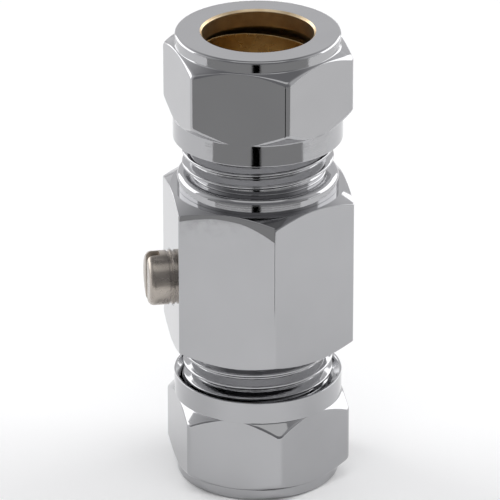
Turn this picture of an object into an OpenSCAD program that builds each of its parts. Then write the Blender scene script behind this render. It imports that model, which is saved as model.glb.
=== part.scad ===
// Compression ball valve for 15 mm pipe, standing on its lower nut.
// The pipe axis is Z. The origin is on it, in the outer face of the lower nut. The stem points along -X.

/* [Pipe] */
// Outside diameter of the pipe that the valve takes
pipe_d = 15; // [14:0.1:15.6]
// Gap between the pipe and its socket in the body, on the radius
socket_gap = 0.1; // [0.05:0.01:0.2]
// How far a pipe goes into the body before it meets the stop
socket_depth = 9.5; // [8:0.1:10]

/* [Body] */
// Width of the body across its flats
hex_af = 24.5; // [24:0.1:28]
// Radius of the body's six long edges
hex_corner = 0.4; // [0.1:0.1:1]
// Length of the hexagon between its end faces
hex_len = 23.1; // [21.5:0.1:26]
// Height of the ball's centre above the lower end of the hexagon
ball_rise = 9.7; // [9:0.1:10.5]
// Slope of the hexagon's end chamfers, from the end face
hex_chamfer_angle = 30; // [20:1:40]
// Flat ring that is left between the end chamfer and the flats
hex_rim = 0.12; // [0.05:0.01:0.4]
// Clear diameter of the waterway behind the seats
waterway_d = 9.4; // [9.2:0.1:10]

/* [Threads] */
// Diameter over the crests of the two male threads
thread_d = 20.955; // [20.5:0.005:22]
// Distance from crest to crest
thread_pitch = 1.814; // [1.5:0.001:2]
// Depth from crest to root
thread_depth = 1.162; // [0.9:0.001:1.2]
// Slope of the thread's flanks from the plane across the axis
thread_flank_angle = 27.5; // [25:0.5:30]
// Length of each threaded end
thread_len = 11.5; // [10.4:0.1:13]
// Height of the first crest above the shoulder
first_crest = 1.65; // [1.3:0.01:2]
// Width of metal round the mouth of each threaded end
mouth_rim = 0.42; // [0.3:0.01:0.6]
// Slope of the olive's seat in the mouth, from the axis
mouth_angle = 30; // [25:1:35]

/* [End connector] */
// Diameter of the round collar that bears on the hexagon
collar_d = 22.4; // [21.8:0.1:23.4]
// Length of the collar
collar_len = 2.1; // [1.6:0.1:3]
// Radius of the collar's outer edge
collar_edge = 0.9; // [0.3:0.05:1.2]
// How much larger the screwed spigot is than the chamber, on the radius
spigot_step = 1.1; // [0.8:0.05:1.3]
// Gap between the spigot and the body, on the radius
spigot_gap = 0.05; // [0.02:0.01:0.1]
// Length of the nose that holds the upper seat
nose_len = 0.9; // [0.5:0.1:1.4]
// Thickness of the connector's seal ring
connector_seal_cord = 0.96; // [0.8:0.02:1.2]

/* [Ball and seats] */
// Diameter of the ball
ball_d = 15.2; // [14.8:0.1:15.6]
// Diameter of the port through the ball
port_d = 9; // [8:0.1:9.2]
// Depth of the stem's slot in the ball
ball_slot_depth = 2.1; // [1.6:0.1:2.4]
// Distance from the ball to the back of each seat
seat_back_gap = 0.4; // [0.2:0.05:0.6]
// Length of each seat ring
seat_len = 3.4; // [3:0.1:3.8]
// How deep each seat ring sits in its pocket
seat_pocket = 2.3; // [1.8:0.1:2.4]
// Gap between the ball and the chamber wall
chamber_gap = 0.7; // [0.5:0.05:0.9]
// Gap between the ball and a seat
seat_gap = 0.05; // [0.03:0.01:0.08]

/* [Stem] */
// Diameter of the stem
stem_d = 7.6; // [7:0.1:8.4]
// How far the stem stands out of the flat
stem_proud = 3.45; // [2.5:0.05:5]
// Radius of the stem's outer edge
stem_edge = 0.85; // [0.3:0.05:1.2]
// Width of the shallow groove round the stem, just outside the flat
stem_relief_w = 0.4; // [0.2:0.05:0.6]
// Depth of that groove
stem_relief = 0.2; // [0.05:0.05:0.4]
// Width of the screwdriver slot
slot_w = 1.5; // [1:0.1:2]
// Depth of the screwdriver slot
slot_depth = 1.8; // [1.2:0.1:2.2]
// Running gap round the stem, on the radius
stem_gap = 0.05; // [0.03:0.01:0.08]
// How far the stem's inner flange stands out, on the radius
flange_step = 0.8; // [0.6:0.05:1]
// Thickness of the stem's inner flange
flange_len = 0.75; // [0.6:0.05:0.9]
// Thickness of the thrust washer under the flange
washer_len = 0.5; // [0.4:0.05:0.6]
// Thickness of the tongue that turns the ball
tongue_w = 2.7; // [2:0.1:3]
// Thickness of each of the two stem seals
stem_seal_cord = 0.92; // [0.8:0.02:1]

/* [Nuts] */
// Width of a nut across its flats
nut_af = 23.3; // [22.8:0.1:25]
// Radius of the six long edges of a nut
nut_corner = 1; // [0.2:0.1:1.6]
// Length of a nut
nut_len = 15.3; // [14:0.1:16.5]
// Diameter of the round collar at the nut's outer end
nut_collar_d = 22.8; // [21.6:0.1:23]
// Length of that collar
nut_collar_len = 1.65; // [1:0.05:2.2]
// Radius of that collar's outer edge
nut_collar_edge = 0.45; // [0.2:0.05:0.8]
// Length of the nut's hexagon between its corners
nut_hex_len = 7.6; // [6.5:0.1:8.2]
// Diameter of the round skirt at the nut's inner end
nut_skirt_d = 23.5; // [23.4:0.02:24.4]
// Gap between the pipe and the hole in the nut, on the radius
nut_hole_gap = 0.17; // [0.1:0.01:0.25]
// Length of the lip round that hole
nut_lip_len = 2.4; // [2:0.1:3]
// Gap between the nut's bore and the thread crests, on the radius
nut_thread_gap = 0.12; // [0.05:0.01:0.15]
// Turn of the upper nut on its thread
upper_nut_turn = 8; // [0:0.1:60]
// Turn of the lower nut on its thread
lower_nut_turn = 3.5; // [0:0.1:60]

/* [Olives] */
// Length of an olive
olive_len = 6.9; // [6.2:0.1:7.6]
// Gap between the pipe and the olive, on the radius
olive_gap = 0.3; // [0.1:0.01:0.35]
// Thickness of the olive's thin ends
olive_end_wall = 0.25; // [0.2:0.01:0.35]
// Thickness of the olive at its middle
olive_wall = 0.9; // [0.7:0.05:1]
// Length of each tapered end
olive_taper = 2.2; // [1.8:0.1:2.8]
// Free length between the nut's lip and the olive
olive_slack = 0.9; // [0.8:0.05:1.2]
// Gap between the olive and its seat in the mouth
olive_seat_gap = 0.16; // [0.14:0.01:0.24]
// Tilt of the loose upper olive
olive_tilt = 3; // [0:0.1:3]
// Direction of the tilted olive's high side, from +X
olive_high_side = -155; // [-180:1:180]

/* [Hidden] */
$fn = 96;
eps = 0.01;
chrome = [0.80, 0.81, 0.83];
nickel = [0.60, 0.57, 0.53];
brass = [0.78, 0.60, 0.30];
ptfe = [0.94, 0.94, 0.92];
rubber = [0.10, 0.10, 0.11];

pipe_r = pipe_d / 2;
socket_r = pipe_r + socket_gap;
waterway_r = waterway_d / 2;
thread_r = thread_d / 2;
root_r = thread_r - thread_depth;
mouth_r = root_r - mouth_rim;
ball_r = ball_d / 2;
chamber_r = ball_r + chamber_gap;
spigot_r = chamber_r + spigot_step;
collar_r = collar_d / 2;

// Thread form: a ridge's foot, its rounded shoulder and its flat crest, as half widths
crest_round = 0.12;
ridge_run = thread_depth * tan(thread_flank_angle);
crest_w = (thread_pitch - 2 * ridge_run) / 4;
last_crest_room = 1.4;
thread_end_chamfer = 0.15;
crest_count = floor((thread_len - first_crest - last_crest_room) / thread_pitch) + 1;

// Olive and the place where it meets the mouth of the body
olive_bore_r = pipe_r + olive_gap;
olive_end_r = olive_bore_r + olive_end_wall;
olive_r = olive_bore_r + olive_wall;
olive_sink = (mouth_r - olive_end_r - olive_seat_gap) / tan(mouth_angle);

// Levels along the pipe axis, from the lower nut's outer face upwards
nut_to_thread_end = nut_lip_len + olive_slack + olive_len - olive_sink;
lower_end_z = nut_to_thread_end;
hex_bottom_z = lower_end_z + thread_len;
hex_top_z = hex_bottom_z + hex_len;
collar_top_z = hex_top_z + collar_len;
upper_end_z = collar_top_z + thread_len;
total_len = upper_end_z + nut_to_thread_end;
ball_z = hex_bottom_z + ball_rise;
seat_back = ball_r + seat_back_gap;
lower_seat_z = ball_z - seat_back;
upper_seat_z = ball_z + seat_back;
nose_z = upper_seat_z - seat_pocket;
spigot_z = nose_z + nose_len;

// Small gaps and edges of the stem and of its hole
flange_ball_gap = 0.1;
flange_side_gap = 0.2;
stem_hole_chamfer = 0.25;
seal_squeeze = 0.03;
groove_floor_gap = 0.01;
groove_side_gap = 0.05;
tongue_gap = 0.2;
tongue_inset = 0.3;
stem_relief_gap = 0.2;

// Distances along the stem, from the pipe axis outwards
stem_r = stem_d / 2;
flange_r = stem_r + flange_step;
flange_x = ball_r + flange_ball_gap;
washer_x = flange_x + flange_len + stem_gap;
shoulder_x = washer_x + washer_len;
flat_x = hex_af / 2;
stem_end_x = flat_x + stem_proud;
gland_len = flat_x - shoulder_x;
stem_seal_r = stem_r + seal_squeeze - stem_seal_cord / 2;
stem_groove_r = stem_seal_r - stem_seal_cord / 2 - groove_floor_gap;
stem_groove_w = stem_seal_cord + 2 * groove_side_gap;
tongue_x = ball_r - ball_slot_depth + tongue_gap;

// Seats, and the end connector's place in the body
seat_ring_r = ball_r - 0.4;
seat_pocket_r = seat_ring_r + 0.05;
nose_side_gap = 0.1;
spigot_end_gap = 0.1;
connector_groove_z = hex_top_z - 0.4 - connector_seal_cord;
connector_seal_r = spigot_r - connector_seal_cord / 2;

nut_corner_r = nut_af / sqrt(3);
nut_collar_r = nut_collar_d / 2;
nut_skirt_r = nut_skirt_d / 2;
nut_hole_r = pipe_r + nut_hole_gap;
nut_bore_r = thread_r + nut_thread_gap;
nut_chamber_r = olive_r + 0.7;
nut_bore_overrun = 1.6;
nut_hole_chamfer = 0.25;
nut_mouth_chamfer = 0.9;
nut_corner_z = nut_collar_len + (nut_corner_r - nut_collar_r) * tan(30);
nut_skirt_z = nut_corner_z + nut_hex_len + nut_corner_r - nut_skirt_r;

function arc(x, y, r, from, to, steps = 6) =
    [for (i = [0:steps]) let (a = from + (to - from) * i / steps) [x + r * cos(a), y + r * sin(a)]];

function ridge(z) = [
    [root_r, z - crest_w - ridge_run],
    [thread_r - crest_round, z - crest_w - crest_round * tan(thread_flank_angle)],
    [thread_r, z - crest_w / 2],
    [thread_r, z + crest_w / 2],
    [thread_r - crest_round, z + crest_w + crest_round * tan(thread_flank_angle)],
    [root_r, z + crest_w + ridge_run]];

// Puts its children on the stem's axis: their +Z points out along the stem, their +X up the pipe
module on_stem_axis() {
    translate([0, 0, ball_z]) rotate([0, -90, 0]) children();
}

// A hexagonal bar with rounded edges, one of them on +X
module hexagon(af, corner, length) {
    centre = (af / 2 - corner) / cos(30);
    linear_extrude(length)
        polygon([for (a = [0:60:300])
            each arc(centre * cos(a), centre * sin(a), corner, a - 30, a + 30, steps = 4)]);
}

// A threaded end with its neck at Z = 0 and its mouth at the top, still without its bore
module threaded_end() {
    rotate_extrude()
        polygon(concat(
            [[0, 0], [root_r, 0]],
            [for (i = [0:crest_count - 1]) each ridge(first_crest + i * thread_pitch)],
            [[root_r, thread_len - thread_end_chamfer], [root_r - thread_end_chamfer, thread_len],
                [0, thread_len]]));
}

// Hollow of a threaded end: the waterway from Z = 0, the pipe stop, the socket and the olive's seat
module pipe_socket(length) {
    stop_z = length - socket_depth;
    step = (socket_r - waterway_r) / 2;
    rotate_extrude()
        polygon([
            [0, -eps], [waterway_r, -eps], [waterway_r, stop_z - step], [waterway_r + step, stop_z],
            [socket_r, stop_z], [socket_r, length - (mouth_r - socket_r) / tan(mouth_angle)],
            [mouth_r, length], [mouth_r, length + 1], [0, length + 1]]);
}

// The outside of the forging: hexagon with its corners turned off at both ends
module hex_body() {
    rim_r = hex_af / 2 - hex_rim;
    over_r = hex_af / sqrt(3) + 1;
    drop = (over_r - rim_r) * tan(hex_chamfer_angle);
    intersection() {
        translate([0, 0, -eps]) rotate([0, 0, 30]) hexagon(hex_af, hex_corner, hex_len + 2 * eps);
        rotate_extrude()
            polygon([[0, 0], [rim_r, 0], [over_r, drop], [over_r, hex_len - drop],
                [rim_r, hex_len], [0, hex_len]]);
    }
}

module body() {
    bore_r = spigot_r + spigot_gap;
    gland_r = stem_r + stem_gap;
    color(chrome)
    difference() {
        union() {
            translate([0, 0, hex_bottom_z]) hex_body();
            translate([0, 0, hex_bottom_z + eps]) mirror([0, 0, 1]) threaded_end();
        }
        translate([0, 0, lower_seat_z]) mirror([0, 0, 1]) pipe_socket(lower_seat_z - lower_end_z);
        // Seat pocket, ball chamber and the bore that the end connector screws into
        rotate_extrude()
            polygon([[0, lower_seat_z], [seat_pocket_r, lower_seat_z],
                [seat_pocket_r, lower_seat_z + seat_pocket], [chamber_r, lower_seat_z + seat_pocket],
                [chamber_r, spigot_z - spigot_end_gap], [bore_r, spigot_z - spigot_end_gap],
                [bore_r, hex_top_z + 1], [0, hex_top_z + 1]]);
        on_stem_axis() {
            cylinder(r = flange_r + flange_side_gap, h = shoulder_x);
            cylinder(r = gland_r, h = flat_x + 1);
            translate([0, 0, flat_x - stem_hole_chamfer])
                cylinder(r1 = gland_r, r2 = gland_r + 2 * stem_hole_chamfer, h = 2 * stem_hole_chamfer);
        }
    }
}

module end_connector() {
    nose_r = chamber_r - nose_side_gap;
    groove_r = connector_seal_r - connector_seal_cord / 2 - groove_floor_gap;
    groove_w = connector_seal_cord + 2 * groove_side_gap;
    color(chrome)
    difference() {
        union() {
            rotate_extrude()
                polygon(concat(
                    [[0, nose_z], [nose_r, nose_z], [nose_r, spigot_z], [spigot_r, spigot_z],
                        [spigot_r, connector_groove_z], [groove_r, connector_groove_z],
                        [groove_r, connector_groove_z + groove_w],
                        [spigot_r, connector_groove_z + groove_w], [spigot_r, hex_top_z],
                        [collar_r, hex_top_z]],
                    arc(collar_r - collar_edge, collar_top_z - collar_edge, collar_edge, 0, 90),
                    [[0, collar_top_z]]));
            translate([0, 0, collar_top_z - eps]) threaded_end();
        }
        translate([0, 0, upper_seat_z]) pipe_socket(upper_end_z - upper_seat_z);
        translate([0, 0, nose_z - eps]) cylinder(r = seat_pocket_r, h = seat_pocket + eps);
    }
}

module o_ring(r, cord) {
    rotate_extrude() translate([r, 0]) circle(d = cord, $fn = 32);
}

module connector_seal() {
    color(rubber)
    translate([0, 0, connector_groove_z + connector_seal_cord / 2 + groove_side_gap])
        o_ring(connector_seal_r, connector_seal_cord);
}

// A seat ring with its back at Z = 0 and the ball's centre above it
module seat() {
    color(ptfe)
    difference() {
        cylinder(r = seat_ring_r, h = seat_len);
        translate([0, 0, -1]) cylinder(r = waterway_r, h = seat_len + 2);
        translate([0, 0, seat_back]) sphere(r = ball_r + seat_gap);
    }
}

module lower_seat() {
    translate([0, 0, lower_seat_z]) seat();
}

module upper_seat() {
    translate([0, 0, upper_seat_z]) mirror([0, 0, 1]) seat();
}

module ball() {
    slot_floor = ball_r - ball_slot_depth;
    color(chrome)
    difference() {
        translate([0, 0, ball_z]) sphere(r = ball_r);
        translate([0, 0, ball_z - ball_r]) cylinder(d = port_d, h = ball_d);
        on_stem_axis()
            translate([-(tongue_w + tongue_gap) / 2, -ball_r, slot_floor])
                cube([tongue_w + tongue_gap, ball_d, ball_slot_depth + 1]);
    }
}

module stem() {
    groove_x = [for (i = [0, 1]) shoulder_x + gland_len * (1 + 2 * i) / 4 - stem_groove_w / 2];
    relief_x = flat_x + stem_relief_gap;
    color(nickel)
    on_stem_axis()
    difference() {
        union() {
            rotate_extrude()
                polygon(concat(
                    [[0, flange_x], [flange_r, flange_x], [flange_r, flange_x + flange_len],
                        [stem_r, flange_x + flange_len]],
                    [for (x = groove_x) each [[stem_r, x], [stem_groove_r, x],
                        [stem_groove_r, x + stem_groove_w], [stem_r, x + stem_groove_w]]],
                    [[stem_r, relief_x], [stem_r - stem_relief, relief_x],
                        [stem_r - stem_relief, relief_x + stem_relief_w],
                        [stem_r, relief_x + stem_relief_w]],
                    arc(stem_r - stem_edge, stem_end_x - stem_edge, stem_edge, 0, 90),
                    [[0, stem_end_x]]));
            // Tongue in the ball's slot, square to the screwdriver slot
            intersection() {
                translate([0, 0, tongue_x])
                    cylinder(r = stem_r - tongue_inset, h = flange_x - tongue_x + eps);
                translate([-tongue_w / 2, -stem_r, tongue_x])
                    cube([tongue_w, stem_d, flange_x - tongue_x + eps]);
            }
        }
        translate([-stem_d, -slot_w / 2, stem_end_x - slot_depth])
            cube([2 * stem_d, slot_w, slot_depth + 1]);
    }
}

module stem_thrust_washer() {
    color(ptfe)
    on_stem_axis()
    difference() {
        translate([0, 0, washer_x]) cylinder(r = flange_r + flange_side_gap / 2, h = washer_len);
        cylinder(r = stem_r + stem_gap, h = stem_end_x);
    }
}

module stem_seal(i) {
    color(rubber)
    on_stem_axis()
    translate([0, 0, shoulder_x + gland_len * (1 + 2 * i) / 4])
        o_ring(stem_seal_r, stem_seal_cord);
}

module inner_stem_seal() {
    stem_seal(0);
}

module outer_stem_seal() {
    stem_seal(1);
}

// A nut with its outer face at Z = 0 and its threaded mouth at the top
module nut(turn) {
    over_r = nut_corner_r + 1;
    outer_fall = (over_r - nut_collar_r) * tan(30);
    inner_fall = over_r - nut_skirt_r;
    bore_z = nut_to_thread_end - nut_bore_overrun;
    cone_z = nut_lip_len + nut_chamber_r - nut_hole_r;
    color(chrome)
    rotate([0, 0, turn])
    difference() {
        union() {
            intersection() {
                translate([0, 0, -eps]) hexagon(nut_af, nut_corner, nut_skirt_z + 2 * eps);
                rotate_extrude()
                    polygon(concat(
                        [[0, 0]],
                        arc(nut_collar_r - nut_collar_edge, nut_collar_edge, nut_collar_edge, -90, 0),
                        [[nut_collar_r, nut_collar_len], [over_r, nut_collar_len + outer_fall],
                            [over_r, nut_skirt_z - inner_fall], [nut_skirt_r, nut_skirt_z],
                            [0, nut_skirt_z]]));
            }
            translate([0, 0, nut_skirt_z]) cylinder(r = nut_skirt_r, h = nut_len - nut_skirt_z);
        }
        rotate_extrude()
            polygon([[0, -1], [nut_hole_r + nut_hole_chamfer + 1, -1], [nut_hole_r, nut_hole_chamfer],
                [nut_hole_r, nut_lip_len], [nut_chamber_r, cone_z], [nut_chamber_r, bore_z],
                [nut_bore_r, bore_z + nut_bore_r - nut_chamber_r], [nut_bore_r, nut_len - nut_mouth_chamfer],
                [nut_bore_r + nut_mouth_chamfer + 1, nut_len + 1], [0, nut_len + 1]]);
    }
}

module lower_nut() {
    nut(30 + lower_nut_turn);
}

module upper_nut() {
    translate([0, 0, total_len]) mirror([0, 0, 1]) nut(30 + upper_nut_turn);
}

// An olive about its own centre: a ring with a plain bore, thickest in the middle
module olive() {
    half = olive_len / 2;
    color(brass)
    rotate_extrude()
        polygon([[olive_bore_r, -half], [olive_end_r, -half], [olive_r, olive_taper - half],
            [olive_r, half - olive_taper], [olive_end_r, half], [olive_bore_r, half]]);
}

module lower_olive() {
    translate([0, 0, nut_lip_len + olive_slack + olive_len / 2]) olive();
}

module upper_olive() {
    translate([0, 0, total_len - nut_lip_len - olive_slack - olive_len / 2])
        rotate([0, 0, olive_high_side]) rotate([0, -olive_tilt, 0]) olive();
}

body();
end_connector();
connector_seal();
lower_seat();
upper_seat();
ball();
stem();
stem_thrust_washer();
inner_stem_seal();
outer_stem_seal();
lower_nut();
lower_olive();
upper_nut();
upper_olive();
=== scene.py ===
"""Looks of the compression ball valve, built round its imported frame.

The geometry functions work in millimetres, and MM turns them into metres when a mesh is made.
The pipe axis is Z, the stem points along -X, and angles round the pipe axis start at +X.
An outline is an array of (r, z) rows with one column for each angle round the axis. It runs up the
outside of a piece and down its inside, and its last row joins its first.
"""
import math

import bpy
import mathutils
import numpy as np
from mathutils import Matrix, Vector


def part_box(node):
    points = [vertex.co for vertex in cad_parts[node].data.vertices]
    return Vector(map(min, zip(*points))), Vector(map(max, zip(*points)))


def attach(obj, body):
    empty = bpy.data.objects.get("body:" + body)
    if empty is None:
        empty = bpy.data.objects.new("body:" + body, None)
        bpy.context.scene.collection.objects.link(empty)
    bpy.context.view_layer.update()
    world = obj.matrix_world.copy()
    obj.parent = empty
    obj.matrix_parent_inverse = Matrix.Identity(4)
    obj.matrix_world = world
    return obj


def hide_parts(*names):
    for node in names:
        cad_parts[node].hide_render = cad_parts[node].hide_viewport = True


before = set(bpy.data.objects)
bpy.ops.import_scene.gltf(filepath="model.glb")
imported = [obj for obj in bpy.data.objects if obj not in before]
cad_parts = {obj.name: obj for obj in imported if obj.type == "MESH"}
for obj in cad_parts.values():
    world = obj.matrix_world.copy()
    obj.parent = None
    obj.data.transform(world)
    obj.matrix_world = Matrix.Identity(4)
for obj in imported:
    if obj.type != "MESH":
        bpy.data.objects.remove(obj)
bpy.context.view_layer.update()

MM = 0.001
TAU = 2 * math.pi
SHARP_ANGLE = math.radians(38)

# Camera, fitted to the rims and the hexagon corners of the photograph
CAMERA_AZIMUTH = math.radians(-99.76)
CAMERA_ELEVATION = math.radians(24.53)
CAMERA_DISTANCE = 0.7211
CAMERA_TARGET = (0, 0, 0.0325)
CAMERA_LENS = 373.18
CAMERA_SHIFT = (-0.0158, 0.0108)

# Threads
PITCH = 1.814
THREAD_R = 10.4775
THREAD_DEPTH = 1.162
FLANK_SLOPE = math.radians(27.5)
THREAD_LEN = 11.5
FIRST_CREST = 1.65
ROOT_R = THREAD_R - THREAD_DEPTH
MOUTH_R = 8.8955

# Pipe sockets and what is between them
SOCKET_R = 7.6
SOCKET_DEPTH = 9.5
MOUTH_SLOPE = math.radians(30)
WATERWAY_R = 4.7
SEAT_POCKET_R = 7.25
SEAT_POCKET = 2.3
CHAMBER_R = 8.3
NOSE_R = 8.2
NOSE_LEN = 0.9
SPIGOT_R = 9.4
SPIGOT_BORE_R = 9.45
SPIGOT_PITCH = 1.0
SPIGOT_DEPTH = 0.4
COLLAR_R = 11.2
COLLAR_EDGE = 0.9

# Hexagons
BODY_AF = 24.5
BODY_CORNER = 0.4
BODY_RIM_R = 12.13
BODY_CHAMFER = math.tan(math.radians(30))
NUT_AF = 23.3
NUT_CORNER = 1.0
NUT_COLLAR_R = 11.4
NUT_COLLAR_LEN = 1.65
NUT_HEX_LEN = 7.6
NUT_SKIRT_R = 11.75
NUT_RIM = 0.25
NUT_HOLE_R = 7.67
NUT_LIP = 2.4
NUT_CHAMBER_R = 9.4
NUT_THREAD_GAP = 0.1
NUT_THREAD_END = 8.5
LOWER_NUT_TURN = 3.5
UPPER_NUT_TURN = 8.0
# The body's flat, counted from the corner at 30 degrees, whose top edge is rolled most
ROLLED_FACE = 3

# Olives
OLIVE_LEN = 6.9
OLIVE_BORE_R = 7.8
OLIVE_END_R = 8.05
OLIVE_R = 8.7
OLIVE_TAPER = 2.2
OLIVE_TILT = 6.0
OLIVE_HIGH_SIDE = -155

# Studio
PAPER_RADIUS = 0.107
PAPER_LIFT = 0.06

# Stem, along its own axis from the pipe axis outwards
STEM_R = 3.8
STEM_EDGE = 0.85
STEM_END = 15.7
STEM_GAP = 0.05
SLOT_W = 1.5
SLOT_DEPTH = 1.8
FLANGE_R = 4.6
FLANGE_X = 7.7
FLANGE_LEN = 0.75
SHOULDER_X = 9.0
TONGUE_X = 5.7
TONGUE_W = 2.7
STEM_GROOVE_W = 1.02
STEM_GROOVE_R = 2.9
STEM_RELIEF_W = 0.4
STEM_RELIEF = 0.2
STEM_HOLE_CHAMFER = 0.25


def level(node, end):
    """Height of a node's lowest (0) or highest (1) point, in millimetres."""
    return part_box(node)[end].z / MM


LOWER_END = level("body", 0)
HEX_BOTTOM = LOWER_END + THREAD_LEN
HEX_TOP = level("body", 1)
UPPER_END = level("end_connector", 1)
COLLAR_TOP = UPPER_END - THREAD_LEN
NUT_LEN = level("lower_nut", 1)
TOTAL = level("upper_nut", 1)
BALL_Z = (level("ball", 0) + level("ball", 1)) / 2
LOWER_SEAT_BACK = level("lower_seat", 0)
UPPER_SEAT_BACK = level("upper_seat", 1)
NOSE_Z = UPPER_SEAT_BACK - SEAT_POCKET
SPIGOT_Z = NOSE_Z + NOSE_LEN


# Outlines

def softened(corners, steps=5, margin=0.08):
    """Rows through the corners, each rounded by a curve that starts and ends a length from it.

    A corner is (r, z) or (r, z, length). r and z are numbers, or arrays with one value for each
    column. Extra rows beside each curve keep the shading of the flats flat.
    """
    columns = max(np.size(v) for c in corners for v in c[:2])
    points = [np.stack([c[0] * np.ones(columns), c[1] * np.ones(columns)], -1) for c in corners]
    rows = [points[0]]
    for i in range(1, len(corners) - 1):
        here = points[i]
        if len(corners[i]) == 2:
            rows.append(here)
            continue
        back, ahead = points[i - 1] - here, points[i + 1] - here
        back_len = np.maximum(np.linalg.norm(back, axis=-1), 1e-9)
        ahead_len = np.maximum(np.linalg.norm(ahead, axis=-1), 1e-9)
        length = np.minimum(corners[i][2], 0.45 * np.minimum(back_len, ahead_len))
        start = here + back * (length / back_len)[:, None]
        end = here + ahead * (length / ahead_len)[:, None]
        cos_turn = -np.sum(back * ahead, -1) / (back_len * ahead_len)
        weight = np.sqrt(np.clip((1 + cos_turn) / 2, 0.05, 1))[:, None]
        for u in np.linspace(0, 1, steps + 1):
            a, b, c = (1 - u) ** 2, 2 * u * (1 - u) * weight, u * u
            rows.append((a * start + b * here + c * end) / (a + b + c))
    rows.append(points[-1])
    guarded = [rows[0]]
    for low, high in zip(rows, rows[1:]):
        length = np.maximum(np.linalg.norm(high - low, axis=-1), 1e-9)
        if length.max() > 5 * margin:
            share = (np.minimum(margin, 0.3 * length) / length)[:, None]
            guarded += [low + (high - low) * share, high - (high - low) * share]
        guarded.append(high)
    return np.array(guarded)


def soft_clamp(u, k=0.12):
    """u held between 0 and 1, with a bend of half width k at both."""
    v = np.clip(u, -k, 1 + k)
    v = np.where(v < k, (v + k) ** 2 / (4 * k), v)
    return np.where(v > 1 - k, 1 - (1 + k - v) ** 2 / (4 * k), v)


def ridge(z, angles, crest_z, pitch, depth):
    """Height above the root, from 0 to 1, of a right-hand helical ridge.

    One of its crests is at crest_z on the side towards the photograph's camera.
    """
    turns = (z - crest_z) / pitch - (angles - CAMERA_AZIMUTH) / TAU
    off = np.abs(turns - np.round(turns)) * pitch
    run = min(depth * math.tan(FLANK_SLOPE), 0.42 * pitch)
    crest = (pitch / 2 - run) / 2
    return soft_clamp((crest + run - off) / run)


def thread_rows(angles, start, end, crest_z, inner, fade_start=0.0, fade_end=0.0, run_out=0.0, step=0.062,
                depth=THREAD_DEPTH, pitch=PITCH):
    """Rows from start to end along the axis, over a thread that fades in and out over those lengths.

    Over the run-out at the end, the groove rises to the crests instead.
    """
    length = abs(end - start)
    z = np.linspace(start, end, int(length / step) + 1)[:, None]
    along = np.abs(z - start)
    fade = np.ones_like(z)
    if fade_start:
        fade = np.minimum(fade, np.clip(along / fade_start, 0, 1))
    if fade_end:
        fade = np.minimum(fade, np.clip((length - along) / fade_end, 0, 1))
    height = fade * ridge(z, angles[None, :], crest_z, pitch, depth)
    if run_out:
        height = np.maximum(height, np.clip(1 - (length - along) / run_out, 0, 1))
    r = inner + depth * height
    return np.stack([r, z * np.ones_like(r)], -1)


def even_angles(count):
    return np.arange(count) * TAU / count


def hex_angles(first_corner, af, corner, flat_steps=22, corner_steps=8):
    """Angles round a hexagon: close together over its rounded corners, evenly spaced over its flats."""
    half = math.radians(30)
    tangent = math.atan((af / 2 - corner) * math.tan(half) / (af / 2))
    guard = math.radians(0.3)
    flat = np.linspace(-tangent + guard, tangent - guard, flat_steps)
    bend = np.linspace(tangent, 2 * half - tangent, corner_steps + 1)
    sector = np.concatenate([flat, bend])
    return np.concatenate([first_corner + half + k * 2 * half + sector for k in range(6)])


def hex_radius(angles, first_corner, af, corner):
    """Distance from the axis to a hexagon whose corners have that radius."""
    half = math.radians(30)
    off = np.abs((angles - first_corner) % (2 * half) - half)
    tangent = math.atan((af / 2 - corner) * math.tan(half) / (af / 2))
    centre = (af / 2 - corner) / math.cos(half)
    side = centre * np.sin(half - off)
    arc = centre * np.cos(half - off) + np.sqrt(np.maximum(corner ** 2 - side ** 2, 0))
    return np.where(off > tangent, arc, af / 2 / np.cos(off))


def pipe_socket(stop, mouth):
    """Corners down the inside of a threaded end, from its mouth to the waterway behind the pipe stop."""
    out = 1 if mouth > stop else -1
    seat = (MOUTH_R - SOCKET_R) / math.tan(MOUTH_SLOPE)
    step = (SOCKET_R - WATERWAY_R) / 2
    return [
        (MOUTH_R, mouth - out * 0.02, 0.06),
        (SOCKET_R, mouth - out * seat, 0.15),
        (SOCKET_R, stop, 0.12),
        (WATERWAY_R + step, stop, 0.1),
        (WATERWAY_R, stop - out * step, 0.15),
    ]


def joined(*parts):
    """Rows and material tags of an outline from (tag, rows) parts."""
    rows = np.concatenate([rows for _, rows in parts])
    tags = np.concatenate([np.full(len(rows), tag) for tag, rows in parts])
    return rows, tags


# Meshes

def add_object(name, vertices, faces, materials, face_tags=None):
    mesh = bpy.data.meshes.new(name)
    mesh.from_pydata(vertices, [], faces)
    for material in materials:
        mesh.materials.append(material)
    if face_tags is not None:
        mesh.polygons.foreach_set("material_index", np.asarray(face_tags, np.int32))
    shade(mesh)
    piece = bpy.data.objects.new(name, mesh)
    bpy.context.scene.collection.objects.link(piece)
    return piece


def shade(mesh):
    mesh.shade_smooth()
    mesh.set_sharp_from_angle(angle=SHARP_ANGLE)


def ring(name, angles, rows, materials, tags=None):
    """A closed ring from an outline. tags has the material index of each row."""
    count, columns = rows.shape[:2]
    r, z = rows[..., 0], rows[..., 1]
    points = np.stack([r * np.cos(angles), r * np.sin(angles), z], -1).reshape(-1, 3) * MM
    index = np.arange(count * columns).reshape(count, columns)
    right, above = np.roll(index, -1, axis=1), np.roll(index, -1, axis=0)
    faces = np.stack([index, right, np.roll(right, -1, axis=0), above], -1).reshape(-1, 4)
    face_tags = None if tags is None else np.repeat(tags, columns)
    return add_object(name, points.tolist(), faces.tolist(), materials, face_tags)


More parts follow.
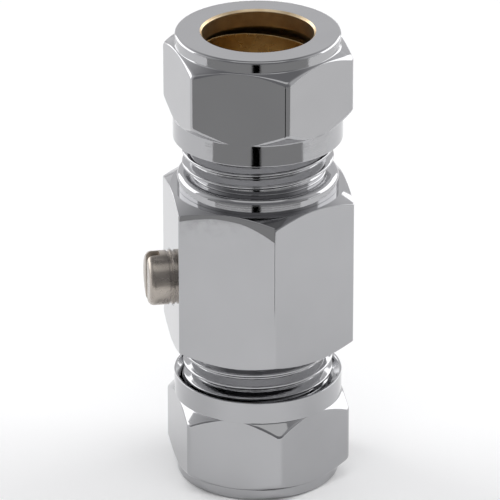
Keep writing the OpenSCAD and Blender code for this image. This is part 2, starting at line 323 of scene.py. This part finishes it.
def solid(name, outline, steps, materials):
    """A solid of revolution, from (r, z) points that start and end on its axis."""
    angles = even_angles(steps)
    wall = np.asarray(outline[1:-1], float)
    r, z = wall[:, :1], wall[:, 1:] * np.ones(steps)
    points = np.stack([r * np.cos(angles), r * np.sin(angles), z], -1).reshape(-1, 3)
    index = np.arange(len(wall) * steps).reshape(len(wall), steps)
    right = np.roll(index, -1, axis=1)
    faces = np.stack([index[:-1], right[:-1], right[1:], index[1:]], -1).reshape(-1, 4).tolist()
    low, high = len(points), len(points) + 1
    faces += [[low, b, a] for a, b in zip(index[0], right[0])]
    faces += [[high, a, b] for a, b in zip(index[-1], right[-1])]
    ends = [[0, 0, outline[0][1]], [0, 0, outline[-1][1]]]
    return add_object(name, (np.concatenate([points, ends]) * MM).tolist(), faces, materials)


def box_piece(name, low, high, materials):
    corners = [[(low, high)[(i >> a) & 1][a] * MM for a in range(3)] for i in range(8)]
    faces = [(0, 2, 3, 1), (4, 5, 7, 6), (0, 1, 5, 4), (2, 6, 7, 3), (0, 4, 6, 2), (1, 3, 7, 5)]
    return add_object(name, corners, faces, materials)


def apply_modifiers(piece):
    depsgraph = bpy.context.evaluated_depsgraph_get()
    mesh = bpy.data.meshes.new_from_object(piece.evaluated_get(depsgraph))
    piece.modifiers.clear()
    piece.data = mesh
    shade(mesh)


def boolean(piece, tool, operation="DIFFERENCE"):
    """Cuts a tool out of a piece, or adds it, and deletes the tool."""
    modifier = piece.modifiers.new("boolean", "BOOLEAN")
    modifier.operation = operation
    modifier.solver = "MANIFOLD"
    modifier.object = tool
    apply_modifiers(piece)
    bpy.data.objects.remove(tool)


def moved(piece, change):
    """Puts a piece's points, given in metres as arrays x, y and z, where change says."""
    co = np.empty(len(piece.data.vertices) * 3, np.float32)
    piece.data.vertices.foreach_get("co", co)
    piece.data.vertices.foreach_set("co", np.stack(change(*co.reshape(-1, 3).T), -1).ravel())
    piece.data.update()
    return piece


def along_stem(piece):
    """Turns a piece from its own +Z to the stem's axis: its +Z points out along the stem, its +X up."""
    return moved(piece, lambda x, y, z: (-z, y, x + BALL_Z * MM))


def keep(piece, body, slot, *nodes):
    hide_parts(*nodes)
    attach(piece, body)


# Materials

def shader(name):
    material = bpy.data.materials.new(name)
    material.use_nodes = True
    tree = material.node_tree
    return material, tree, tree.nodes["Principled BSDF"]


def node(tree, kind, inputs=None, **settings):
    made = tree.nodes.new(kind)
    for key, value in settings.items():
        setattr(made, key, value)
    for key, value in (inputs or {}).items():
        if isinstance(value, bpy.types.NodeSocket):
            tree.links.new(value, made.inputs[key])
        else:
            made.inputs[key].default_value = value
    return made


def place(tree):
    """Where a point of the surface is, in metres in the piece's own frame."""
    return node(tree, "ShaderNodeTexCoord").outputs["Object"]


def noise(tree, vector, scale, detail=3.0, roughness=0.5):
    return node(tree, "ShaderNodeTexNoise", {"Vector": vector, "Scale": scale, "Detail": detail,
                                             "Roughness": roughness}).outputs["Fac"]


def stretched(tree, vector, factors):
    return node(tree, "ShaderNodeVectorMath", {0: vector, 1: factors}, operation="MULTIPLY").outputs[0]


def ranged(tree, value, low, high, from_low=0.0, from_high=1.0):
    return node(tree, "ShaderNodeMapRange", {"Value": value, "From Min": from_low, "From Max": from_high,
                                             "To Min": low, "To Max": high}).outputs["Result"]


def added(tree, a, b):
    return node(tree, "ShaderNodeMath", {0: a, 1: b}, operation="ADD").outputs[0]


def mixed(tree, factor, a, b):
    """A colour between a and b."""
    mix = node(tree, "ShaderNodeMix", data_type="RGBA")
    tree.links.new(factor, mix.inputs[0])
    mix.inputs[6].default_value = (*a, 1)
    mix.inputs[7].default_value = (*b, 1)
    return mix.outputs[2]


def bumped(tree, height, strength, distance, normal=None):
    inputs = {"Height": height, "Strength": strength, "Distance": distance}
    if normal is not None:
        inputs["Normal"] = normal
    return node(tree, "ShaderNodeBump", inputs).outputs["Normal"]


def turning_lines(tree, vector, period):
    """Fine lines round the pipe axis, as a lathe tool leaves them, on walls and end faces alike."""
    xyz = node(tree, "ShaderNodeSeparateXYZ", {"Vector": vector})
    flat = stretched(tree, vector, (1, 1, 0))
    radius = node(tree, "ShaderNodeVectorMath", {0: flat}, operation="LENGTH").outputs["Value"]
    along = added(tree, radius, xyz.outputs["Z"])
    return noise(tree, node(tree, "ShaderNodeCombineXYZ", {"X": along}).outputs[0], 1 / period, 4.0, 0.7)


def scaled(color, k):
    return tuple(min(c * k, 1) for c in color)


def plated(name, color, roughness, lines=0.0):
    """Bright plate over buffed brass: a slow wave in the metal, hairline scratches and soft haze."""
    material, tree, bsdf = shader(name)
    where = place(tree)
    bsdf.inputs["Metallic"].default_value = 1.0
    tree.links.new(mixed(tree, noise(tree, where, 180, 2.0), scaled(color, 0.96), scaled(color, 1.04)),
                   bsdf.inputs["Base Color"])
    haze = noise(tree, where, 900, 4.0, 0.6)
    tree.links.new(ranged(tree, haze, roughness * 0.7, roughness * 1.5, 0.3, 0.75),
                   bsdf.inputs["Roughness"])
    normal = bumped(tree, noise(tree, where, 260, 1.0), 1.0, 0.000012)
    scratch = noise(tree, stretched(tree, where, (5200, 5200, 260)), 1.0, 2.0, 0.7)
    normal = bumped(tree, scratch, 0.12, 0.000004, normal)
    if lines:
        normal = bumped(tree, turning_lines(tree, where, 0.00022), lines, 0.000006, normal)
    tree.links.new(normal, bsdf.inputs["Normal"])
    return material


def turned_brass(name, color, roughness):
    """Turned, unplated brass with a faint tarnish."""
    material, tree, bsdf = shader(name)
    where = place(tree)
    bsdf.inputs["Metallic"].default_value = 1.0
    cloud = noise(tree, where, 350, 4.0, 0.6)
    tarnish = tuple(c * k for c, k in zip(color, (0.72, 0.62, 0.5)))
    tree.links.new(mixed(tree, ranged(tree, cloud, 0, 1, 0.35, 0.75), color, tarnish),
                   bsdf.inputs["Base Color"])
    tree.links.new(ranged(tree, cloud, roughness * 0.8, roughness * 1.4), bsdf.inputs["Roughness"])
    tree.links.new(bumped(tree, turning_lines(tree, where, 0.00016), 0.6, 0.00001),
                   bsdf.inputs["Normal"])
    return material


def turned_nickel(name, color, roughness):
    """Turned and nickel plated: warm grey, with lines round the stem's own axis."""
    material, tree, bsdf = shader(name)
    where = place(tree)
    bsdf.inputs["Metallic"].default_value = 1.0
    cloud = noise(tree, where, 500, 4.0, 0.6)
    tree.links.new(mixed(tree, cloud, scaled(color, 0.85), scaled(color, 1.15)), bsdf.inputs["Base Color"])
    tree.links.new(ranged(tree, cloud, roughness * 0.75, roughness * 1.3), bsdf.inputs["Roughness"])
    rows = noise(tree, stretched(tree, where, (7000, 60, 60)), 1.0, 3.0, 0.7)
    tree.links.new(bumped(tree, rows, 0.35, 0.000005), bsdf.inputs["Normal"])
    return material


def dull(name, color, roughness, grain):
    """Rubber or PTFE: a plain surface with a fine grain."""
    material, tree, bsdf = shader(name)
    where = place(tree)
    cloud = noise(tree, where, grain, 4.0, 0.6)
    tree.links.new(mixed(tree, cloud, scaled(color, 0.9), scaled(color, 1.08)), bsdf.inputs["Base Color"])
    tree.links.new(ranged(tree, cloud, roughness * 0.85, roughness * 1.15), bsdf.inputs["Roughness"])
    tree.links.new(bumped(tree, cloud, 0.3, 0.00001), bsdf.inputs["Normal"])
    return material


CHROME = (0.42, 0.421, 0.431)
chrome_turned = plated("chrome_turned", CHROME, 0.07, lines=0.9)
chrome_buffed = plated("chrome_buffed", CHROME, 0.07)
brass_inside = turned_brass("brass_inside", (0.80, 0.66, 0.45), 0.28)
brass_olive = turned_brass("brass_olive", (0.93, 0.74, 0.42), 0.24)
nickel_plate = turned_nickel("nickel_plate", (0.43, 0.39, 0.35), 0.27)
ptfe = dull("ptfe", (0.86, 0.86, 0.84), 0.45, 2500)
rubber = dull("rubber", (0.025, 0.025, 0.027), 0.5, 3000)

# Places of these materials in a plated piece
BUFFED, TURNED, INSIDE = 0, 1, 2
PLATED = [chrome_buffed, chrome_turned, brass_inside]


# The pieces

def rolled_edge(angles):
    """How the buffing wheel has leaned in the top of each flat: how far down the flat, and how deep."""
    face = np.floor((np.degrees(angles) - 30) / 60) % 6
    along = (np.degrees(angles) - 30) % 60 / 60
    strong = 0.45 + 0.6 * np.abs(along - 0.35) + 6 * np.clip(along - 0.6, 0, 1) ** 2
    down = np.where(face == ROLLED_FACE, strong, 0.12)
    return down, down * np.where(face == ROLLED_FACE, 0.17, 0.3)


def make_body():
    """The forging: lower threaded end, hexagon, and the hollow for the connector, ball, seat and pipe."""
    corner_angle = math.radians(30)
    angles = hex_angles(corner_angle, BODY_AF, BODY_CORNER)
    one = np.ones(len(angles))
    flat_r = hex_radius(angles, corner_angle, BODY_AF, BODY_CORNER)
    drop = (flat_r - BODY_RIM_R) * BODY_CHAMFER
    down, lean = rolled_edge(angles)
    under_r = (THREAD_R + BODY_RIM_R) / 2
    lean_z = HEX_TOP - np.maximum(flat_r - lean - BODY_RIM_R, 0) * BODY_CHAMFER - 0.02
    thread = thread_rows(angles, LOWER_END + 0.15, HEX_BOTTOM - 0.15, HEX_BOTTOM - FIRST_CREST, ROOT_R,
                         fade_start=0.5, run_out=1.6)
    neck = softened([
        (THREAD_R * one, HEX_BOTTOM - 0.13),
        (THREAD_R, HEX_BOTTOM, 0.05),
        (under_r, HEX_BOTTOM)])
    hexagon = softened([
        (under_r * one, HEX_BOTTOM),
        (BODY_RIM_R, HEX_BOTTOM, 0.05),
        (flat_r, HEX_BOTTOM + drop, 0.12),
        (flat_r, HEX_TOP - drop - down, 0.1),
        (flat_r - lean, lean_z, 0.1),
        (BODY_RIM_R - 0.06, HEX_TOP, 0.06),
        (SPIGOT_BORE_R + 0.3, HEX_TOP)])[1:]
    top = softened([
        (SPIGOT_BORE_R + 0.3, HEX_TOP),
        (SPIGOT_BORE_R, HEX_TOP - 0.3, 0.05),
        (SPIGOT_BORE_R * one, HEX_TOP - 1.8)])[1:]
    bore_thread = thread_rows(angles, HEX_TOP - 1.85, SPIGOT_Z + 0.4, SPIGOT_Z, SPIGOT_BORE_R - SPIGOT_DEPTH,
                              depth=SPIGOT_DEPTH, pitch=SPIGOT_PITCH)
    inside = softened([
        (SPIGOT_BORE_R * one, SPIGOT_Z + 0.35),
        (SPIGOT_BORE_R, SPIGOT_Z - 0.1, 0.05),
        (CHAMBER_R, SPIGOT_Z - 0.1, 0.1),
        (CHAMBER_R, LOWER_SEAT_BACK + SEAT_POCKET, 0.15),
        (SEAT_POCKET_R, LOWER_SEAT_BACK + SEAT_POCKET, 0.05),
        (SEAT_POCKET_R, LOWER_SEAT_BACK, 0.05),
        (WATERWAY_R, LOWER_SEAT_BACK, 0.05),
        *reversed(pipe_socket(LOWER_END + SOCKET_DEPTH, LOWER_END)),
        (MOUTH_R + 0.12, LOWER_END, 0.05),
        (ROOT_R - 0.15, LOWER_END, 0.03),
        (ROOT_R, LOWER_END + 0.14)])[:-1]
    rows, tags = joined((TURNED, thread), (TURNED, neck), (BUFFED, hexagon), (INSIDE, top),
                        (INSIDE, bore_thread), (INSIDE, inside))
    piece = ring("body_forging", angles, rows, PLATED, tags)
    gland_r, mouth = STEM_R + STEM_GAP, BODY_AF / 2
    gland = solid("gland", [
        (0, 6.5), (FLANGE_R + 0.2, 6.5), (FLANGE_R + 0.2, SHOULDER_X), (gland_r, SHOULDER_X),
        (gland_r, mouth - STEM_HOLE_CHAMFER), (gland_r + 2 * STEM_HOLE_CHAMFER, mouth + STEM_HOLE_CHAMFER),
        (gland_r + 2 * STEM_HOLE_CHAMFER, mouth + 2), (0, mouth + 2)], 120, [chrome_buffed])
    boolean(piece, along_stem(gland))
    keep(piece, "valve", "chrome_plate", "body")


def make_connector():
    """The end connector: nose, screwed spigot, collar and upper threaded end."""
    angles = even_angles(192)
    one = np.ones(len(angles))
    groove_r, groove_low = SPIGOT_R - 0.97, HEX_TOP - 1.36
    groove_high = groove_low + 1.06
    nose = softened([
        (SEAT_POCKET_R + 0.1, NOSE_Z),
        (NOSE_R * one, NOSE_Z, 0.08),
        (NOSE_R, SPIGOT_Z, 0.05),
        (SPIGOT_R, SPIGOT_Z, 0.1),
        (SPIGOT_R, SPIGOT_Z + 0.3)])
    spigot = thread_rows(angles, SPIGOT_Z + 0.35, groove_low - 0.6, SPIGOT_Z, SPIGOT_R - SPIGOT_DEPTH,
                         depth=SPIGOT_DEPTH, pitch=SPIGOT_PITCH)
    collar = softened([
        (SPIGOT_R * one, groove_low - 0.55),
        (SPIGOT_R, groove_low, 0.04),
        (groove_r, groove_low, 0.04),
        (groove_r, groove_high, 0.04),
        (SPIGOT_R, groove_high, 0.04),
        (SPIGOT_R, HEX_TOP, 0.02),
        (COLLAR_R, HEX_TOP, 0.05),
        (COLLAR_R, COLLAR_TOP, COLLAR_EDGE),
        (ROOT_R, COLLAR_TOP, 0.15),
        (ROOT_R, COLLAR_TOP + 0.45)], steps=9)
    thread = thread_rows(angles, COLLAR_TOP + 0.5, UPPER_END - 0.15, COLLAR_TOP + FIRST_CREST, ROOT_R,
                         fade_start=0.5, fade_end=0.5)
    inside = softened([
        (ROOT_R * one, UPPER_END - 0.14),
        (ROOT_R - 0.15, UPPER_END, 0.03),
        (MOUTH_R + 0.12, UPPER_END, 0.05),
        *pipe_socket(UPPER_END - SOCKET_DEPTH, UPPER_END),
        (WATERWAY_R, UPPER_SEAT_BACK, 0.05),
        (SEAT_POCKET_R, UPPER_SEAT_BACK, 0.05),
        (SEAT_POCKET_R, NOSE_Z, 0.05),
        (SEAT_POCKET_R + 0.1, NOSE_Z)])[:-1]
    rows, tags = joined((INSIDE, nose), (INSIDE, spigot), (TURNED, collar), (TURNED, thread), (INSIDE, inside))
    piece = ring("end_connector_turned", angles, rows, PLATED, tags)
    keep(piece, "valve", "chrome_plate", "end_connector")


def make_nut(name, node_name, corner_angle, crest_z, upside_down=False):
    """A compression nut, drawn from its outer face at 0 to its threaded mouth."""
    angles = hex_angles(corner_angle, NUT_AF, NUT_CORNER)
    one = np.ones(len(angles))
    flat_r = hex_radius(angles, corner_angle, NUT_AF, NUT_CORNER)
    slope = math.tan(math.radians(30))
    corner_r = NUT_AF / math.sqrt(3)
    skirt_z = NUT_COLLAR_LEN + (corner_r - NUT_COLLAR_R) * slope + NUT_HEX_LEN + corner_r - NUT_SKIRT_R
    outer_z = NUT_COLLAR_LEN + (flat_r - NUT_COLLAR_R) * slope
    inner_z = skirt_z - np.maximum(flat_r - NUT_SKIRT_R, 0)
    cone_r = NUT_COLLAR_R + (flat_r - NUT_COLLAR_R) * 0.3
    cone_z = NUT_COLLAR_LEN + (outer_z - NUT_COLLAR_LEN) * 0.3
    bore_r = ROOT_R + NUT_THREAD_GAP
    major_r = bore_r + THREAD_DEPTH
    mouth_depth = NUT_SKIRT_R - NUT_RIM - major_r
    thread_top, thread_foot = NUT_LEN - mouth_depth - 0.1, NUT_THREAD_END
    face = softened([
        (NUT_HOLE_R + 0.28, 0),
        (NUT_COLLAR_R * one, 0, 0.42),
        (NUT_COLLAR_R, NUT_COLLAR_LEN, 0.2),
        (cone_r, cone_z)], steps=8)
    hexagon = softened([
        (cone_r, cone_z),
        (flat_r, outer_z, 0.6),
        (flat_r, inner_z, 0.3),
        (NUT_SKIRT_R, skirt_z, 0.12),
        (NUT_SKIRT_R, skirt_z + 0.3)], steps=6)[1:]
    skirt = softened([
        (NUT_SKIRT_R * one, skirt_z + 0.3),
        (NUT_SKIRT_R, NUT_LEN, 0.1),
        (NUT_SKIRT_R - NUT_RIM, NUT_LEN, 0.06),
        (major_r, NUT_LEN - mouth_depth, 0.05),
        (major_r, thread_top - 0.05)])[1:-1]
    inside = softened([
        (bore_r * one, thread_foot - 0.1),
        (NUT_CHAMBER_R, thread_foot - 0.3, 0.1),
        (NUT_CHAMBER_R, NUT_LIP + NUT_CHAMBER_R - NUT_HOLE_R, 0.2),
        (NUT_HOLE_R, NUT_LIP, 0.12),
        (NUT_HOLE_R, 0.28, 0.06),
        (NUT_HOLE_R + 0.28, 0)])[:-1]
    if upside_down:
        for rows in (face, hexagon, skirt, inside):
            rows[..., 1] = TOTAL - rows[..., 1]
        thread_top, thread_foot = TOTAL - thread_top, TOTAL - thread_foot
    thread = thread_rows(angles, thread_top, thread_foot, crest_z, bore_r, fade_end=0.3, step=0.07)
    rows, tags = joined((TURNED, face), (BUFFED, hexagon), (TURNED, skirt), (INSIDE, thread), (INSIDE, inside))
    if upside_down:
        rows, tags = rows[::-1], np.roll(tags[::-1], -1)
    piece = ring(name, angles, rows, PLATED, tags)
    keep(piece, node_name, "nut_plate", node_name)


def make_olive(name, node_name, tilt=0.0):
    """A barrel-shaped ring of soft brass, tilted by that angle where it lies loose."""
    low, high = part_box(node_name)
    centre = (low.z + high.z) / 2 / MM
    half = OLIVE_LEN / 2
    outline = softened([
        (OLIVE_BORE_R, -half + 0.3),
        (OLIVE_BORE_R, -half, 0.05),
        (OLIVE_END_R, -half, 0.08),
        (OLIVE_R, OLIVE_TAPER - half, 0.5),
        (OLIVE_R, half - OLIVE_TAPER, 0.5),
        (OLIVE_END_R, half, 0.08),
        (OLIVE_BORE_R, half, 0.05),
        (OLIVE_BORE_R, half - 0.3)], steps=6)[:, 0]
    angles = even_angles(160)
    rows = np.repeat(outline[:, None, :], len(angles), axis=1)
    piece = ring(name, angles, rows, [brass_olive])
    turn = math.radians(OLIVE_HIGH_SIDE)
    c, s, ct, st = math.cos(turn), math.sin(turn), math.cos(tilt), math.sin(tilt)

    def tilted(x, y, z):
        along, across = x * c + y * s, y * c - x * s
        high_side, up = along * ct - z * st, along * st + z * ct
        return high_side * c - across * s, high_side * s + across * c, up + centre * MM

    moved(piece, tilted)
    keep(piece, node_name, "bare_brass", node_name)


def make_stem():
    """The stem: a tongue and flange inside, two seal grooves, and the screwdriver slot outside."""
    gland_len = BODY_AF / 2 - SHOULDER_X
    grooves = [SHOULDER_X + gland_len * share - STEM_GROOVE_W / 2 for share in (0.25, 0.75)]
    relief_x = BODY_AF / 2 + 0.2
    outline = softened([
        (0, FLANGE_X),
        (FLANGE_R, FLANGE_X, 0.08),
        (FLANGE_R, FLANGE_X + FLANGE_LEN, 0.08),
        (STEM_R, FLANGE_X + FLANGE_LEN, 0.05),
        *[(r, x + w, 0.04) for x in grooves
          for r, w in ((STEM_R, 0), (STEM_GROOVE_R, 0), (STEM_GROOVE_R, STEM_GROOVE_W), (STEM_R, STEM_GROOVE_W))],
        (STEM_R, relief_x, 0.04),
        (STEM_R - STEM_RELIEF, relief_x, 0.04),
        (STEM_R - STEM_RELIEF, relief_x + STEM_RELIEF_W, 0.04),
        (STEM_R, relief_x + STEM_RELIEF_W, 0.04),
        (STEM_R, STEM_END, STEM_EDGE),
        (0, STEM_END)], steps=8)[:, 0]
    piece = along_stem(solid("stem_nickel", outline.tolist(), 128, [nickel_plate]))
    slot = box_piece("slot", (-9, -SLOT_W / 2, STEM_END - SLOT_DEPTH), (9, SLOT_W / 2, STEM_END + 2),
                     [nickel_plate])
    boolean(piece, along_stem(slot))
    tongue = solid("tongue", [(0, TONGUE_X), (STEM_R - 0.3, TONGUE_X), (STEM_R - 0.3, FLANGE_X + 0.2),
                              (0, FLANGE_X + 0.2)], 64, [nickel_plate])
    for side in (-1, 1):
        low, high = sorted((side * TONGUE_W / 2, side * 9))
        boolean(tongue, box_piece("side", (low, -9, TONGUE_X - 1), (high, 9, FLANGE_X + 1), [nickel_plate]))
    boolean(piece, along_stem(tongue), "UNION")
    edge = piece.modifiers.new("edge", "BEVEL")
    edge.width = 0.07 * MM
    edge.segments = 2
    edge.limit_method = "ANGLE"
    edge.angle_limit = math.radians(50)
    apply_modifiers(piece)
    keep(piece, "stem", "nickel_stem", "stem")


def dress_nodes():
    """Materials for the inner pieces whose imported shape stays."""
    finish = {"ball": chrome_buffed, "lower_seat": ptfe, "upper_seat": ptfe, "stem_thrust_washer": ptfe,
              "connector_seal": rubber, "inner_stem_seal": rubber, "outer_stem_seal": rubber}
    for name, material in finish.items():
        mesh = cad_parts[name].data
        mesh.materials.clear()
        mesh.materials.append(material)


# Studio

def studio_material(name, color, strength):
    """A plain glowing card."""
    material = bpy.data.materials.new(name)
    material.use_nodes = True
    tree = material.node_tree
    tree.nodes.clear()
    glow = node(tree, "ShaderNodeEmission", {"Color": (*color, 1), "Strength": strength})
    out = node(tree, "ShaderNodeOutputMaterial")
    tree.links.new(glow.outputs[0], out.inputs["Surface"])
    return material


def studio_card(name, corners, color, strength):
    """A card that only reflections see. Corners are metres: right, away from the camera and up."""
    c, s = math.cos(CAMERA_AZIMUTH), math.sin(CAMERA_AZIMUTH)
    points = [(-s * right - c * away, c * right - s * away, up) for right, away, up in corners]
    mesh = bpy.data.meshes.new(name)
    mesh.from_pydata(points, [], [tuple(range(len(points)))])
    mesh.materials.append(studio_material(name, color, strength))
    card = bpy.data.objects.new(name, mesh)
    bpy.context.scene.collection.objects.link(card)
    card.visible_camera = False
    card.visible_diffuse = False
    card.visible_shadow = False


def make_floor():
    size = 6.0
    mesh = bpy.data.meshes.new("floor")
    mesh.from_pydata([(-size, -size, 0), (size, -size, 0), (size, size, 0), (-size, size, 0)], [], [(0, 1, 2, 3)])
    material, tree, bsdf = shader("paper")
    bsdf.inputs["Base Color"].default_value = (0.93, 0.93, 0.93, 1)
    bsdf.inputs["Roughness"].default_value = 1.0
    bsdf.inputs["Specular IOR Level"].default_value = 0.0
    bsdf.inputs["Emission Color"].default_value = (1, 1, 1, 1)
    rays = node(tree, "ShaderNodeLightPath").outputs
    seen = added(tree, added(tree, rays["Is Camera Ray"], rays["Is Glossy Ray"]), rays["Is Transmission Ray"])
    tree.links.new(ranged(tree, seen, 0.0, PAPER_LIFT), bsdf.inputs["Emission Strength"])
    mesh.materials.append(material)
    floor = bpy.data.objects.new("floor", mesh)
    bpy.context.scene.collection.objects.link(floor)


def make_cards():
    """What the metal sees: a paper sheet with a dark room past its front edge, soft boxes and a black post."""
    black, dark, wall = (0.01, 0.01, 0.012), (1, 1, 1), (1, 1, 1)
    edge = [(72, 0.14), (61, 0.14), *[(a, PAPER_RADIUS) for a in range(60, -61, -10)],
            (-61, 0.14), (-72, 0.14)]
    studio_card("front_dark", [(-3.0, -0.97, 0.0006), (-2.5, -2.5, 0.0006), (2.5, -2.5, 0.0006),
                               (3.0, -0.97, 0.0006),
                               *[(r * math.sin(math.radians(a)), -r * math.cos(math.radians(a)), 0.0006)
                                 for a, r in edge]], dark, 0.40)
    studio_card("post_foot", [(-0.036, -0.30, 0.001), (0.016, -0.30, 0.001), (0.006, -0.075, 0.001),
                              (-0.0125, -0.075, 0.001)], black, 0.0)
    studio_card("post", [(-0.115, -0.80, 0.0), (0.050, -0.80, 0.0), (0.050, -0.80, 0.12),
                         (-0.115, -0.80, 0.12)], black, 0.0)
    studio_card("left_box", [(-0.30, 0.02, 0.03), (-0.18, 0.30, 0.03), (-0.18, 0.30, 0.21),
                             (-0.30, 0.02, 0.21)], wall, 2.6)
    studio_card("right_box", [(0.30, 0.02, 0.03), (0.18, 0.30, 0.03), (0.18, 0.30, 0.21),
                              (0.30, 0.02, 0.21)], wall, 2.6)
    studio_card("right_low", [(0.125, -0.05, 0.0008), (0.30, -0.05, 0.0008), (0.30, 0.20, 0.0008),
                              (0.125, 0.20, 0.0008)], wall, 1.0)
    studio_card("top_box", [(-0.35, -0.45, 0.60), (0.35, -0.45, 0.60), (0.35, -0.10, 0.75),
                            (-0.35, -0.10, 0.75)], wall, 0.85)


def make_world():
    """A pale wall all round that turns dark overhead and in front, where the camera stands."""
    world = bpy.data.worlds.new("studio")
    bpy.context.scene.world = world
    world.use_nodes = True
    tree = world.node_tree
    direction = node(tree, "ShaderNodeTexCoord").outputs["Generated"]
    up = node(tree, "ShaderNodeSeparateXYZ", {"Vector": direction}).outputs["Z"]
    forward = (math.cos(CAMERA_AZIMUTH), math.sin(CAMERA_AZIMUTH), 0)
    front = node(tree, "ShaderNodeVectorMath", {0: direction, 1: forward}, operation="DOT_PRODUCT")
    height = ranged(tree, up, 0.0, 1.0, 0.55, 0.9)
    ahead = ranged(tree, front.outputs["Value"], 0.0, 1.0, 0.1, 0.6)
    shade_of = node(tree, "ShaderNodeMath", {0: height, 1: ahead}, operation="MAXIMUM").outputs[0]
    background = tree.nodes["Background"]
    tree.links.new(mixed(tree, shade_of, (0.84, 0.84, 0.85), (0.26, 0.26, 0.27)), background.inputs["Color"])


def make_lamp(name, right, away, up, size, power):
    """A soft lamp aimed at the valve, at metres right, away from the camera and up."""
    c, s = math.cos(CAMERA_AZIMUTH), math.sin(CAMERA_AZIMUTH)
    data = bpy.data.lights.new(name, "AREA")
    data.shape = "SQUARE"
    data.size = size
    data.energy = power
    lamp = bpy.data.objects.new(name, data)
    lamp.location = (-s * right - c * away, c * right - s * away, up)
    aim = mathutils.Vector(CAMERA_TARGET) - lamp.location
    lamp.rotation_euler = aim.to_track_quat("-Z", "Y").to_euler()
    lamp.visible_glossy = False
    bpy.context.scene.collection.objects.link(lamp)


def make_camera():
    data = bpy.data.cameras.new("camera")
    data.lens = CAMERA_LENS
    data.sensor_width = 36
    data.shift_x, data.shift_y = CAMERA_SHIFT
    data.clip_start = 0.01
    data.clip_end = 50
    camera = bpy.data.objects.new("camera", data)
    flat = CAMERA_DISTANCE * math.cos(CAMERA_ELEVATION)
    away = mathutils.Vector((flat * math.cos(CAMERA_AZIMUTH), flat * math.sin(CAMERA_AZIMUTH),
                             CAMERA_DISTANCE * math.sin(CAMERA_ELEVATION)))
    camera.location = mathutils.Vector(CAMERA_TARGET) + away
    camera.rotation_euler = (-away).to_track_quat("-Z", "Y").to_euler()
    bpy.context.scene.collection.objects.link(camera)
    bpy.context.scene.camera = camera


make_body()
make_connector()
make_nut("lower_nut_plated", "lower_nut", math.radians(30 + LOWER_NUT_TURN), HEX_BOTTOM - FIRST_CREST)
make_nut("upper_nut_plated", "upper_nut", math.radians(30 + UPPER_NUT_TURN), COLLAR_TOP + FIRST_CREST,
         upside_down=True)
make_olive("lower_olive_ring", "lower_olive")
make_olive("upper_olive_ring", "upper_olive", math.radians(OLIVE_TILT))
make_stem()
dress_nodes()
make_floor()
make_cards()
make_world()
make_lamp("left_lamp", -0.7, 0.3, 0.75, 0.6, 3.2)
make_lamp("right_lamp", 0.7, 0.2, 0.75, 0.6, 3.2)
make_lamp("top_lamp", 0.0, -0.3, 1.0, 0.6, 2.6)
make_camera()
bpy.context.scene.view_settings.view_transform = "Standard"
